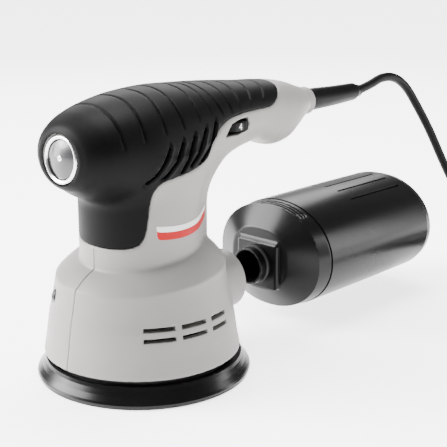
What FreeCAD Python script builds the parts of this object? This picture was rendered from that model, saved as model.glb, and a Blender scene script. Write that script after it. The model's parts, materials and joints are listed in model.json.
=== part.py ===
import FreeCAD, Part
import math
import os

from FreeCAD import Vector

# Random orbit sander, millimetres. +X runs back along the handle, -Y is the tool's left side, +Z is up.
# The origin is on the motor axis, at the sanding face of the pad.

# ---------------------------------------------------------------- driving dimensions
PAD_R = 62.5
ORBIT = 1.2                 # offset of the pad's axis from the motor's axis
PAD_PLATE_TOP = 9.0
HOOK_T = 1.5
DUST_HOLES = 8
DUST_HOLE_R = 5.0
DUST_HOLE_PCD = 65.0
PAD_SCREW_PCD = 28.0

WALL = 4.0                  # shell and overmould together
GRIP_T = 1.6                # depth of the rubber overmould
SPLIT = 0.02                # half of the gap between the two shells
HOUSING_BOTTOM = 13.0
NECK_R = 35.0
NECK_REAR_R = 21.5
NECK_REAR_X = 24.0

PORT_Z = 40.6               # axis of the dust port
PORT_R = 12.6
PORT_START_X = 45.5
PORT_END_X = 71.0
BOSS_Z = 38.6
BOSS_R = 18.6

COLLAR_Z = 141.2
COLLAR_R = 9.0
COLLAR_END_X = 148.0
BOOT_END_X = 206.0
CORD_R = 3.1
CLAMP_X = 112.0
CLAMP_Z = 131.0

SHAFT_R = 5.0
RUN_CLEAR = 0.03            # radial clearance of a shaft in its bearing

BOX_Z = 43.5                # centre of the dust box
BOX_W = 43.8                # half width
BOX_H = 35.2                # half height
BOX_WALL = 2.2
SPOUT_X = 92.0
SPOUT_R = 12.1
CAP_FACE_X = 103.5
CAP_BAND_X = 113.5
SEAM_X = 125.0
BOX_END_X = 241.5
SLOT_X0 = 171.0             # air slots on top of the canister
SLOT_X1 = 227.0

DIAL_X = 52.0
DIAL_Y = -16.8
DIAL_Z = 140.3
DIAL_R = 13.5
DIAL_HALF = 2.5
SWITCH_X = 52.0
SWITCH_Z = 140.0
SWITCH_Y = 24.5             # pivot of the rocker
ROCKER_TILT = 8.0

BADGE_X = -51.6
BADGE_Z = 133.5
BADGE_R = 13.8
BADGE_TILT = 4.0

COIL_X = 300.0
COIL_Y = -92.0
COIL_R = 35.0               # middle of the turns
COIL_HALF = 12.4
COIL_TOP = 11.6

# head and handle sections: x, top, bottom, half width, roundness
STATIONS = [
    (-56.5, 149.0, 119.4, 17.0, 2.0),
    (-54.5, 151.6, 117.4, 21.0, 2.0),
    (-50, 154.9, 115.0, 25.2, 2.0),
    (-44, 158.0, 111.0, 28.6, 2.05),
    (-30, 162.3, 104.5, 32.4, 2.1),
    (-10, 165.4, 98.0, 35.7, 2.15),
    (10, 166.5, 97.0, 36.0, 2.15),
    (30, 165.6, 108.0, 33.5, 2.15),
    (50, 164.4, 117.0, 30.0, 2.15),
    (70, 162.6, 122.3, 26.5, 2.2),
    (84, 161.2, 124.0, 24.5, 2.25),
    (96, 160.4, 121.8, 24.0, 2.3),
    (104, 159.7, 119.0, 23.7, 2.3),
    (111, 158.9, 119.8, 23.0, 2.25),
    (119, 157.4, 124.5, 21.5, 2.2),
    (128, 154.6, 130.0, 18.5, 2.1),
    (137, 151.0, 134.0, 13.5, 2.0),
]

# skirt wall: radius, height
SKIRT = [(57.0, 13.0), (57.0, 16.0), (55.4, 25.0), (54.3, 33.0), (53.1, 40.0), (51.4, 47.0), (49.7, 56.0)]

# side-view edge of the rubber grip: x, z
GRIP_EDGE = [
    (105.5, 166), (104.5, 159), (98.5, 154), (92, 149.6), (84, 147.4), (61, 147.6), (45, 146.6), (33, 143),
    (24, 136), (17, 128), (8, 124.2), (-6, 121.4), (-14, 119.6), (-17.8, 115), (-19.5, 102), (-21.5, 89),
    (-25, 84), (-35, 81.7), (-46, 81.5),
]

# centre lines of the five air louvres on each side of the grip: x, z
LOUVRES = [
    [(-9.8, 137.7), (-13.8, 131.3), (-18.5, 125.3), (-23.4, 120.8)],
    [(0.1, 139.4), (-5.2, 131.1), (-14.0, 122.5)],
    [(9.5, 141.6), (3.9, 132.6), (-2.3, 124.1)],
    [(19.3, 143.9), (12.7, 135.1), (4.0, 126.7)],
    [(28.8, 146.1), (22.2, 136.2), (12.7, 127.8)],
]
LOUVRE_W = 1.5

# speed dial window in the left shell: x, z
DIAL_WINDOW = [
    (37.5, 136.9), (44, 142.9), (52.5, 144.4), (60.8, 144.5), (62.4, 141), (60.5, 137.3), (51, 136.3),
]

VENT_COLUMNS = [(-132.0, -112.5), (-108.5, -90.5), (-86.0, -70.5)]
VENT_ROWS = [(35.4, 37.8), (41.0, 43.5)]

# case screws: x, z, distance of the right shell's surface from the split
CASE_SCREWS = [(-43, 50, 26.5), (38, 64, 29.0), (36.5, 94, 17.4), (94, 139, 23.6), (121, 142.5, 20.5)]

# free cord from the end of the boot to the coil
CORD_ROUTE = [
    (206, 0, 141.2), (220, 0, 143.5), (233, 0, 147.5), (248, -1, 146.5), (262, -2, 138), (274, -4, 123),
    (287, -8, 103), (300, -12, 79), (312, -19, 54), (323, -29, 32), (333, -42, 15), (340, -58, 6),
    (343.5, -75, 3.3), (344.3, -92, 3.1),
]
TAIL_ROUTE = [(300, -133.2, 8.5), (287, -133.9, 7.4), (274, -135.6, 7.6), (261, -136.5, 8.5)]


# ---------------------------------------------------------------- helpers
X_DIR = Vector(1, 0, 0)
Y_DIR = Vector(0, 1, 0)
Z_DIR = Vector(0, 0, 1)


def tube_z(radius, z0, z1, x=0.0, y=0.0, hole=0.0):
    """Upright cylinder, with a hole if one is given."""
    solid = Part.makeCylinder(radius, z1 - z0, Vector(x, y, z0), Z_DIR)
    if hole:
        solid = solid.cut(Part.makeCylinder(hole, z1 - z0 + 2, Vector(x, y, z0 - 1), Z_DIR))
    return solid


def rod_x(radius, x0, x1, z, y=0.0):
    return Part.makeCylinder(radius, x1 - x0, Vector(x0, y, z), X_DIR)


def rod_y(radius, y0, y1, x, z):
    return Part.makeCylinder(radius, y1 - y0, Vector(x, y0, z), Y_DIR)


def box(x0, x1, y0, y1, z0, z1):
    return Part.makeBox(x1 - x0, y1 - y0, z1 - z0, Vector(x0, y0, z0))


def rounded_box(x0, x1, y0, y1, z0, z1, radius):
    solid = box(x0, x1, y0, y1, z0, z1)
    return solid.makeFillet(radius, solid.Edges)


def spline(points, closed=False):
    curve = Part.BSplineCurve()
    curve.interpolate(points, PeriodicFlag=closed)
    return curve.toShape()


def turned(profile):
    """Solid of revolution about the motor axis from (radius, z) points."""
    points = [Vector(r, 0, z) for r, z in profile]
    wire = Part.makePolygon(points + points[:1])
    return Part.Face(wire).revolve(Vector(0, 0, 0), Z_DIR, 360)


def prism_y(points, y0, y1):
    """Side-view polygon pulled across the tool."""
    corners = [Vector(x, y0, z) for x, z in points]
    return Part.Face(Part.makePolygon(corners + corners[:1])).extrude(Vector(0, y1 - y0, 0))


def fuse(shapes):
    return shapes[0].multiFuse(shapes[1:]).removeSplitter()


def group(shapes):
    return Part.makeCompound(shapes)


def mirrored(shape):
    return shape.mirror(Vector(0, 0, 0), Y_DIR)


def about_motor(shape, angle):
    copy = shape.copy()
    copy.rotate(Vector(0, 0, 0), Z_DIR, angle)
    return copy


def section_wire(x, centre_z, half_w, half_h, n, count=20):
    points = []
    for i in range(count):
        a = 2 * math.pi * i / count
        c, s = math.cos(a), math.sin(a)
        y = half_w * math.copysign(abs(c) ** (2 / n), c)
        z = centre_z + half_h * math.copysign(abs(s) ** (2 / n), s)
        points.append(Vector(x, y, z))
    return Part.Wire([spline(points, True)])


# ---------------------------------------------------------------- outer form of the housing
def head(inset):
    wires = []
    for x, top, bottom, half, n in STATIONS:
        if half - inset < 9:
            continue
        shift = inset if x == STATIONS[0][0] else 0
        middle, height = (top + bottom) / 2, (top - bottom) / 2
        wires.append(section_wire(x + shift, middle, half - inset, height - inset, n))
    return Part.makeLoft(wires, True, False, False, 3)


def neck(inset, z0, z1):
    r1, r2 = NECK_R - inset, NECK_REAR_R - inset
    lean = math.asin((NECK_R - NECK_REAR_R) / NECK_REAR_X)
    a = math.pi / 2 - lean
    front = [Vector(r1 * math.cos(t), r1 * math.sin(t), z0) for t in (a, math.pi, -a)]
    rear = [Vector(NECK_REAR_X + r2 * math.cos(t), r2 * math.sin(t), z0) for t in (-a, 0, a)]
    edges = [
        Part.Arc(*front).toShape(),
        Part.makeLine(front[2], rear[0]),
        Part.Arc(*rear).toShape(),
        Part.makeLine(rear[2], front[0]),
    ]
    return Part.Face(Part.Wire(edges)).extrude(Vector(0, 0, z1 - z0))


def ring_wire(radius, height):
    """Closed curve of the given radius whose height is a function of x."""
    points = []
    for i in range(24):
        a = 2 * math.pi * i / 24
        x, y = radius * math.cos(a), radius * math.sin(a)
        points.append(Vector(x, y, height(x)))
    return Part.Wire([spline(points, True)])


def shoulder_height(x):
    return 59.5 + 0.076 * (x + 49)


def neck_base_height(x):
    return 68.3 + 0.165 * (x + 36)


def skirt(inset):
    bottom = HOUSING_BOTTOM if inset == 0 else HOUSING_BOTTOM - 5
    wall = [Vector(r - inset, 0, z) for r, z in SKIRT]
    low, high = Vector(0, 0, bottom), Vector(0, 0, SKIRT[-1][1])
    edges = [Part.makeLine(low, Vector(wall[0].x, 0, bottom))]
    if bottom < wall[0].z:
        edges.append(Part.makeLine(Vector(wall[0].x, 0, bottom), wall[0]))
    edges += [spline(wall), Part.makeLine(wall[-1], high), Part.makeLine(high, low)]
    drum = Part.Face(Part.Wire(edges)).revolve(Vector(0, 0, 0), Z_DIR, 360)
    base_z = SKIRT[-1][1] - 0.5
    rings = [
        ring_wire(SKIRT[-1][0] - inset, lambda x: base_z),
        ring_wire(49.0 - inset, lambda x: shoulder_height(x) - inset),
        ring_wire(42.5 - inset, lambda x: (shoulder_height(x) + neck_base_height(x)) / 2 + 1.2 - inset),
        ring_wire(36.0 - inset, lambda x: neck_base_height(x) - inset),
        ring_wire(30.0 - inset, lambda x: neck_base_height(x) + 1.5 - inset),
    ]
    return drum.fuse(Part.makeLoft(rings, True, True))


def outer_form(inset):
    """The whole housing body, shrunk by inset all round."""
    parts = [head(inset), neck(inset, 60, 124), skirt(inset)]
    if inset < WALL:
        parts.append(rod_x(BOSS_R, 40, PORT_END_X, BOSS_Z))
        parts.append(rod_x(COLLAR_R, 124, COLLAR_END_X, COLLAR_Z))
    return parts[0].multiFuse(parts[1:])


def grip_outline():
    """Prism that holds the rubber grip, from its side-view edge."""
    edge = [Vector(x, -60, z) for x, z in GRIP_EDGE]
    far = [Vector(-75, -60, GRIP_EDGE[-1][1]), Vector(-75, -60, 180), Vector(GRIP_EDGE[0][0], -60, 180)]
    lines = Part.makePolygon([edge[-1]] + far + [edge[0]])
    wire = Part.Wire([spline(edge)] + lines.Edges)
    return Part.Face(wire).extrude(Vector(0, 120, 0))


def band(points, width):
    """Flat band of constant width along a side-view line, as a polygon."""
    left, right = [], []
    for i, (x, z) in enumerate(points):
        a, b = points[max(i - 1, 0)], points[min(i + 1, len(points) - 1)]
        length = math.hypot(b[0] - a[0], b[1] - a[1])
        nx, nz = -(b[1] - a[1]) / length, (b[0] - a[0]) / length
        left.append((x + nx * width / 2, z + nz * width / 2))
        right.append((x - nx * width / 2, z - nz * width / 2))
    return left + right[::-1]


def louvre_cutters():
    cutters = [prism_y(band(line, LOUVRE_W), -48, -20) for line in LOUVRES]
    return cutters + [mirrored(c) for c in cutters]


def vent_cutters():
    cutters = []
    for a0, a1 in VENT_COLUMNS:
        for z0, z1 in VENT_ROWS:
            corners = [Vector(42, 0, z0), Vector(60, 0, z0), Vector(60, 0, z1), Vector(42, 0, z1)]
            face = Part.Face(Part.makePolygon(corners + corners[:1]))
            wedge = face.revolve(Vector(0, 0, 0), Z_DIR, a1 - a0)
            cutters.append(about_motor(wedge, a0))
            cutters.append(mirrored(about_motor(wedge, a0)))
    return cutters


def badge_place(shape):
    """Puts a shape made along -X at the origin onto the tilted nose of the head."""
    shape.rotate(Vector(0, 0, 0), Y_DIR, -BADGE_TILT)
    shape.translate(Vector(BADGE_X, 0, BADGE_Z))
    return shape


def case_screw(x, z, surface):
    head_y = surface - 4.5
    shank = rod_y(2.0, head_y - 18, head_y, x, z)
    return shank.fuse(rod_y(3.6, head_y, head_y + 2.4, x, z)).removeSplitter()


def screw_boss(x, z, surface):
    return rod_y(4.4, -surface, surface, x, z)


def screw_recess(x, z, surface):
    return rod_y(4.1, surface - 4.5, surface + 20, x, z)


def housing():
    """Left shell, right shell and the rubber grip moulded over them."""
    outside = outer_form(0)
    cavity = outer_form(WALL)
    grip = outside.cut(outer_form(GRIP_T)).common(grip_outline())
    posts = fuse([screw_boss(*s) for s in CASE_SCREWS]).common(outside)
    port_tube = rod_x(PORT_R + 2.0, PORT_START_X, 60, PORT_Z)
    shell = outside.cut(cavity).fuse(posts).fuse(port_tube).cut(grip)
    cutters = louvre_cutters()
    cutters.append(badge_place(rod_x(BADGE_R + 0.1, -30, 1.05, 0)))
    grip = grip.cut(group(cutters))
    cutters += vent_cutters()
    cutters.append(rod_x(PORT_R, 40, PORT_END_X + 1, PORT_Z))
    cutters.append(rod_x(4.0, 120, COLLAR_END_X + 1, COLLAR_Z))
    cutters.append(rod_x(7.6, 120, COLLAR_END_X - 3, COLLAR_Z))
    cutters.append(prism_y(DIAL_WINDOW, -60, -22))
    dial_room = tube_z(DIAL_R + 0.5, DIAL_Z - DIAL_HALF - 0.5, DIAL_Z + DIAL_HALF + 0.5, DIAL_X, DIAL_Y)
    cutters.append(dial_room.common(box(30, 70, -28.4, 0, 130, 150)))
    cutters.append(box(SWITCH_X - 11, SWITCH_X + 11, 16, 60, SWITCH_Z - 6.5, SWITCH_Z + 6.5))
    cutters += [screw_recess(*s) for s in CASE_SCREWS]
    cutters += [case_screw(*s) for s in CASE_SCREWS]
    shell = shell.cut(group(cutters))
    left = shell.common(box(-90, 180, -90, -SPLIT, 0, 200))
    right = shell.common(box(-90, 180, SPLIT, 90, 0, 200))
    return biggest(left), biggest(right), biggest(grip)


def biggest(shape):
    return max(shape.Solids, key=lambda s: s.Volume)


# ---------------------------------------------------------------- trim on the housing
def badge_ring():
    inner = BADGE_R - 2.6
    profile = [
        (inner, 1), (BADGE_R, 1), (BADGE_R, -3.6), (BADGE_R - 1.0, -5.0), (inner + 0.5, -5.0), (inner, -4.4),
    ]
    points = [Vector(x, r, 0) for r, x in profile]
    solid = Part.Face(Part.makePolygon(points + points[:1])).revolve(Vector(0, 0, 0), X_DIR, 360)
    return badge_place(solid)


def badge_lens():
    radius = BADGE_R - 2.75
    dome = Part.makeSphere(30, Vector(23.6, 0, 0))
    return badge_place(rod_x(radius, -8, 1, 0).common(dome))


def side_label():
    patch = [(-16.5, 88.5), (28.5, 91.5), (28.5, 100.5), (-16.5, 96.5)]
    skin = neck(-0.3, 80, 110).cut(neck(0, 79, 111))
    return biggest(skin.common(prism_y(patch, -60, -10)))


def pad_brake_ring():
    return turned([(50.2, 9.7), (51.4, 9.7), (52.8, 13.5), (52.8, 16.0), (51.9, 20.0), (50.2, 20.0)])


def cord_boot():
    profile = [
        (COLLAR_END_X - 6, 0), (COLLAR_END_X - 6, 7.4), (COLLAR_END_X - 3.1, 7.4),
        (COLLAR_END_X - 3.1, 3.9), (COLLAR_END_X + 0.1, 3.9), (COLLAR_END_X + 0.1, 7.0),
        (BOOT_END_X - 8, 5.4), (BOOT_END_X - 6, 4.6), (BOOT_END_X, 4.3), (BOOT_END_X, 0),
    ]
    points = [Vector(x, r, 0) for x, r in profile]
    solid = Part.Face(Part.makePolygon(points + points[:1])).revolve(Vector(0, 0, 0), X_DIR, 360)
    solid.translate(Vector(0, 0, COLLAR_Z))
    return solid


def cord_clamp():
    block = box(CLAMP_X - 4, CLAMP_X + 4, -9, 9, CLAMP_Z, CLAMP_Z + 3)
    return block.cut(group([tube_z(1.6, CLAMP_Z - 1, CLAMP_Z + 4, CLAMP_X, y) for y in (-6.5, 6.5)]))


def cord_clamp_screws():
    screws = []
    for y in (-6.5, 6.5):
        shank = tube_z(1.55, CLAMP_Z, CLAMP_Z + 3, CLAMP_X, y)
        screws.append(shank.fuse(tube_z(2.8, CLAMP_Z + 3, CLAMP_Z + 4.8, CLAMP_X, y)))
    return group(screws)


# ---------------------------------------------------------------- motor
def fan_counterweight():
    hub = tube_z(15.0, 14.0, 34.0)
    plate = tube_z(39.0, 26.0, 28.5)
    blade = box(14.5, 38.5, -1.0, 1.0, 15.0, 26.2)
    blade.rotate(Vector(14.5, 0, 0), Z_DIR, 25)
    blades = [about_motor(blade, 36 * i) for i in range(10)]
    corners = [Vector(14, 0, 28.4), Vector(33, 0, 28.4), Vector(33, 0, 34), Vector(14, 0, 34)]
    weight = Part.Face(Part.makePolygon(corners + corners[:1])).revolve(Vector(0, 0, 0), Z_DIR, 120)
    solid = fuse([hub, plate, about_motor(weight, 120)] + blades)
    solid = solid.common(tube_z(39.0, 10, 40))
    seat = tube_z(11.0, 13.0, 24.6, ORBIT)
    return solid.cut(seat).cut(tube_z(SHAFT_R, 26.0, 35.0))


def motor_shaft():
    return turned([
        (0, 26.0), (SHAFT_R, 26.0), (SHAFT_R, 57.0), (6.0, 57.0), (6.0, 132.0), (4.0, 132.0), (4.0, 150.0),
        (0, 150.0),
    ])


def armature_core():
    core = tube_z(16.8, 74.0, 106.0, hole=6.0)
    slots = [about_motor(box(12.0, 18.0, -0.7, 0.7, 73, 107), 30 * i) for i in range(12)]
    return core.cut(group(slots))


def armature_windings():
    lower = turned([(6.0, 73.9), (6.0, 66.0), (11.0, 65.0), (15.0, 68.5), (15.0, 73.9)])
    upper = turned([(6.0, 106.1), (15.0, 106.1), (15.0, 111.0), (11.0, 115.5), (6.0, 116.0)])
    return group([lower, upper])


def commutator():
    body = tube_z(10.5, 118.0, 130.0, hole=6.0)
    gaps = [about_motor(box(9.3, 11.0, -0.25, 0.25, 119, 131), 15 * i) for i in range(24)]
    return body.cut(group(gaps))


def stator_core():
    ring = tube_z(28.0, 72.0, 108.0, hole=17.4)
    for angle in (0, 180):
        ring = ring.cut(about_motor(box(16, 22.5, -9, 9, 71, 109), angle))
    return ring.cut(group([tube_z(2.1, 60, 120, 0, y) for y in (-25.2, 25.2)]))


def field_windings():
    return group([tube_z(23.0, 61.0, 71.9, hole=18.0), tube_z(21.5, 108.1, 116.0, hole=18.0)])


def stator_screws():
    screw = tube_z(2.0, 72.0, 112.0, 0, 25.2).fuse(tube_z(3.4, 112.0, 114.5, 0, 25.2))
    return group([screw, mirrored(screw)])


def brush_pair(shape):
    return group([shape, mirrored(shape)])


def brush_holder():
    outside = box(-4.4, 4.4, 12.0, 27.0, 119.6, 128.4)
    return outside.cut(box(-3.2, 3.2, 11.0, 25.8, 120.8, 127.2))


def carbon_brush():
    return box(-3.1, 3.1, 10.8, 19.0, 120.9, 127.1)


def brush_spring():
    helix = Part.makeHelix(1.5, 6.0, 1.9)
    start = Part.Wire(Part.makeCircle(0.4, Vector(1.9, 0, 0), Y_DIR))
    coil = Part.Wire(helix.Edges).makePipeShell([start], True, True)
    coil.rotate(Vector(0, 0, 0), X_DIR, -90)
    coil.translate(Vector(0, 19.4, 124.0))
    return coil


def bearing(outer, inner, z0, z1, x=0.0):
    return tube_z(outer, z0, z1, x, 0.0, inner + RUN_CLEAR)


def motor_plate():
    plate = tube_z(45.0, 46.0, 48.0).fuse(tube_z(14.5, 41.0, 52.0))
    plate = plate.cut(tube_z(12.0, 40.0, 50.0)).cut(tube_z(SHAFT_R + 1.0, 39.0, 60.0))
    holes = [about_motor(tube_z(7.0, 44, 50, 29), 45 * i) for i in range(8)]
    return plate.cut(group(holes)).cut(box(-46, -38.3, -30, 30, 44, 50))


def dust_shroud():
    ring = tube_z(48.6, 30.0, 31.5, hole=40.4)
    return biggest(ring.cut(box(20, 60, -16, 16, 29, 33)))


def bearing_bracket():
    bracket = tube_z(24.0, 145.0, 147.0).fuse(tube_z(12.0, 137.0, 147.0))
    return bracket.cut(tube_z(9.5, 136.0, 145.0)).cut(tube_z(5.0, 144.0, 160.0))


# ---------------------------------------------------------------- sanding pad
def at_pad(shape):
    shape.translate(Vector(ORBIT, 0, 0))
    return shape


def dust_hole_cutters():
    hole = tube_z(DUST_HOLE_R, -1, 20, DUST_HOLE_PCD / 2)
    return [about_motor(hole, 360 / DUST_HOLES * i) for i in range(DUST_HOLES)]


def pad_screw_spots():
    r = PAD_SCREW_PCD / 2
    return [(r * math.cos(math.radians(a)), r * math.sin(math.radians(a))) for a in (45, 135, 225, 315)]


def backing_pad():
    pad = turned([
        (0, HOOK_T), (62.2, HOOK_T), (PAD_R, 2.6), (61.9, 3.8), (59.6, 6.6), (57.9, 9.4), (57.2, 11.2),
        (55.4, 11.2), (54.6, PAD_PLATE_TOP), (0, PAD_PLATE_TOP),
    ])
    recesses = [tube_z(4.2, 0, 5.0, x, y) for x, y in pad_screw_spots()]
    shanks = [tube_z(2.2, 4, 12.0, x, y) for x, y in pad_screw_spots()]
    return at_pad(pad.cut(group(dust_hole_cutters() + recesses + shanks)))


def hook_sheet():
    sheet = tube_z(61.6, 0, HOOK_T)
    recesses = [tube_z(4.2, -1, 5.0, x, y) for x, y in pad_screw_spots()]
    return at_pad(sheet.cut(group(dust_hole_cutters() + recesses)))


def pad_carrier():
    flange = tube_z(19.0, PAD_PLATE_TOP, 12.5)
    shaft = tube_z(SHAFT_R, 12.0, 23.6).fuse(tube_z(6.6, 12.0, 15.2))
    shanks = [tube_z(2.0, 8, 13, x, y) for x, y in pad_screw_spots()]
    return at_pad(flange.fuse(shaft).removeSplitter().cut(group(shanks)))


def pad_screws():
    screws = []
    for x, y in pad_screw_spots():
        screws.append(tube_z(2.0, 5.0, 12.3, x, y).fuse(tube_z(3.7, 2.6, 5.0, x, y)))
    return at_pad(group(screws))


# ---------------------------------------------------------------- controls
def speed_dial():
    wheel = tube_z(DIAL_R, DIAL_Z - DIAL_HALF, DIAL_Z + DIAL_HALF, hole=2.5)
    notch = tube_z(0.6, DIAL_Z - 4, DIAL_Z + 4, DIAL_R + 0.15)
    wheel = wheel.cut(group([about_motor(notch, 10 * i) for i in range(36)]))
    wheel.translate(Vector(DIAL_X, DIAL_Y, 0))
    return wheel


def dial_controller():
    """Speed control module whose pin carries the dial."""
    board = box(41, 61, -19.3, 3, 131.0, 134.0).fuse(box(60, 76, -12.6, 3, 131.0, 134.0))
    pin = tube_z(2.42, 133.5, 146.0, DIAL_X, DIAL_Y)
    return board.fuse(pin).removeSplitter()


def switch_block():
    body = box(SWITCH_X - 10, SWITCH_X + 10, 10, 26.8, SWITCH_Z - 5.8, SWITCH_Z + 5.8)
    cavity = box(SWITCH_X - 8.6, SWITCH_X + 8.6, 19.0, 60, SWITCH_Z - 4.6, SWITCH_Z + 4.6)
    return body.cut(cavity)


def power_rocker():
    lens = Part.makeCylinder(26.0, 8.6, Vector(0, -18.5, -4.3), Z_DIR)
    rocker = lens.common(box(-7.9, 7.9, -1.5, 8, -5, 5)).cut(tube_z(1.0, -6, 6))
    rocker.rotate(Vector(0, 0, 0), Z_DIR, -ROCKER_TILT)
    rocker.translate(Vector(SWITCH_X, SWITCH_Y, SWITCH_Z))
    return rocker


def rocker_pin():
    return tube_z(0.95, SWITCH_Z - 4.6, SWITCH_Z + 4.6, SWITCH_X, SWITCH_Y)


# ---------------------------------------------------------------- dust box
def box_section(x, scale_w, scale_h, n, inset=0.0):
    return section_wire(x, BOX_Z, BOX_W * scale_w - inset, BOX_H * scale_h - inset, n, 24)


def box_cap():
    outside = Part.makeLoft([
        box_section(CAP_FACE_X, 0.52, 0.57, 2.6),
        box_section(CAP_BAND_X, 0.955, 0.965, 2.1),
        box_section(SEAM_X - 0.4, 0.99, 0.99, 2.05),
    ], True, True)
    inside = Part.makeLoft([
        box_section(CAP_FACE_X + 2.4, 0.52, 0.57, 2.6, 1.6),
        box_section(CAP_BAND_X + 1.0, 0.955, 0.965, 2.1, 3.2),
        box_section(SEAM_X + 8, 0.92, 0.91, 2.05),
    ], True, True)
    lip = Part.makeLoft([
        box_section(117, 0.99, 0.99, 2.05, BOX_WALL + 0.4),
        box_section(SEAM_X + 6, 0.99, 0.99, 2.05, BOX_WALL + 0.4),
    ], True, True)
    face_x = CAP_FACE_X - 2.5
    saddle = prism_y([
        (face_x, PORT_Z - 15), (face_x, PORT_Z + 14), (face_x + 6, PORT_Z + 20), (face_x + 8, PORT_Z + 20),
        (face_x + 8, PORT_Z - 15),
    ], -17, 17)
    spout = rod_x(SPOUT_R, SPOUT_X, CAP_FACE_X + 5, PORT_Z)
    bore = rod_x(SPOUT_R - 1.5, SPOUT_X - 1, CAP_FACE_X + 9, PORT_Z)
    keep = box(80, SEAM_X + 8, -60, 60, 0, 90)
    return outside.fuse(lip).fuse(saddle).fuse(spout).common(keep).cut(inside).cut(bore).removeSplitter()


def box_seal():
    ring = rod_x(SPOUT_R + 0.3, SPOUT_X + 5, SPOUT_X + 7, PORT_Z)
    return ring.cut(rod_x(SPOUT_R, SPOUT_X, SPOUT_X + 20, PORT_Z))


def box_canister():
    outside = Part.makeLoft([
        box_section(SEAM_X, 1.0, 1.0, 2.05), box_section(180, 1.0, 1.0, 2.05),
        box_section(BOX_END_X - 7, 0.99, 0.99, 2.05), box_section(BOX_END_X - 2, 0.965, 0.955, 2.05),
        box_section(BOX_END_X, 0.91, 0.89, 2.05),
    ], True, True)
    inside = Part.makeLoft([
        box_section(SEAM_X - 1, 1.0, 1.0, 2.05, BOX_WALL), box_section(180, 1.0, 1.0, 2.05, BOX_WALL),
        box_section(BOX_END_X - 7, 0.99, 0.99, 2.05, BOX_WALL),
        box_section(BOX_END_X - 2.5, 0.95, 0.94, 2.05, BOX_WALL),
    ], True, True)
    slots = [box(SLOT_X0, SLOT_X1, y - 0.8, y + 0.8, BOX_Z + 20, BOX_Z + 40) for y in (-22, -11, 0, 11, 22)]
    return outside.cut(inside).cut(group(slots))


def dust_filter():
    """Pleated filter panel under the slots of the canister, in a frame with legs."""
    pitch = 4.0
    z0, z1 = 57.0, 64.0
    x0, x1 = SLOT_X0 - 2, SLOT_X1 + 2
    points = []
    for i in range(int((x1 - x0) / pitch) + 1):
        points.append((x0 + pitch * i, z0 if i % 2 else z1))
    zigzag = points + [(x, z - 1.4) for x, z in points[::-1]]
    media = prism_y(zigzag, -24, 24)
    frame = box(x0 - 2, x1 + 2, -26, 26, 55.0, 65.0).cut(box(x0 + 0.2, x1 - 0.2, -24, 24, 54, 66))
    return frame.fuse(media.common(box(x0 - 1, x1 + 1, -25, 25, 54, 66))).removeSplitter()


# ---------------------------------------------------------------- cord
def tube_path(route):
    """Straight runs joined by tangent arcs, each as large as its two runs allow."""
    points = [Vector(*p) for p in route]
    edges = []
    start = points[0]
    for i in range(1, len(points) - 1):
        into = points[i] - points[i - 1]
        out = points[i + 1] - points[i]
        reach = 0.45 * min(into.Length, out.Length)
        turn = into.getAngle(out)
        radius = reach / math.tan(turn / 2)
        print("  bend %2d: radius %.1f mm, %.1f diameters" % (i, radius, radius / (2 * CORD_R)))
        into.normalize()
        out.normalize()
        a = points[i] - into * reach
        b = points[i] + out * reach
        centre = points[i] + (out - into).normalize() * (radius / math.cos(turn / 2))
        middle = centre + (points[i] - centre).normalize() * radius
        edges.append(Part.LineSegment(start, a).toShape())
        edges.append(Part.Arc(a, middle, b).toShape())
        start = b
    edges.append(Part.LineSegment(start, points[-1]).toShape())
    return Part.Wire(edges)


def tube(name, route):
    print(name)
    path = tube_path(route)
    along = Vector(*route[1]) - Vector(*route[0])
    disc = Part.Wire(Part.makeCircle(CORD_R, Vector(*route[0]), along))
    solid = path.makePipeShell([disc], True, True)
    expected = math.pi * CORD_R ** 2 * path.Length
    print("  length %.1f mm, volume over section times length %.4f" % (path.Length, solid.Volume / expected))
    return solid


def cord_coil():
    inner, outer = COIL_R - COIL_HALF, COIL_R + COIL_HALF
    ring = turned([
        (inner + 2, 0), (outer - 2, 0), (outer, 2), (outer, 6), (outer - 5, COIL_TOP), (inner + 5, COIL_TOP),
        (inner, 6), (inner, 2),
    ])
    ring.translate(Vector(COIL_X, COIL_Y, 0))
    return ring


def coil_tie():
    inner, outer = COIL_R - COIL_HALF, COIL_R + COIL_HALF
    loop = box(inner - 1.4, outer + 1.4, -4, 4, 0, COIL_TOP + 1.2)
    loop = loop.cut(box(inner - 0.4, outer + 0.4, -5, 5, 0.8, COIL_TOP + 0.2))
    loop.rotate(Vector(0, 0, 0), Z_DIR, 120)
    loop.translate(Vector(COIL_X, COIL_Y, 0))
    return loop


def plug_body():
    x0, x1 = TAIL_ROUTE[-1][0] - 42, TAIL_ROUTE[-1][0] - 14
    y, z = TAIL_ROUTE[-1][1], TAIL_ROUTE[-1][2]
    body = rounded_box(x0, x1, y - 12, y + 12, z - 8.4, z + 8.4, 2.5)
    relief = Part.makeCone(6.5, 3.9, 16, Vector(x1 - 2, y, z), X_DIR)
    return body.fuse(relief).removeSplitter()


def plug_pins():
    x1 = TAIL_ROUTE[-1][0] - 42
    y, z = TAIL_ROUTE[-1][1], TAIL_ROUTE[-1][2]
    middles = [y - 6.35, y + 6.35]
    return group([box(x1 - 17, x1, m - 0.75, m + 0.75, z - 3.15, z + 3.15) for m in middles])


# ---------------------------------------------------------------- export
def save(name, shape):
    if not shape.isValid():
        print("NOT VALID", name)
    shape.exportStep("parts/%s.step" % name)


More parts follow.
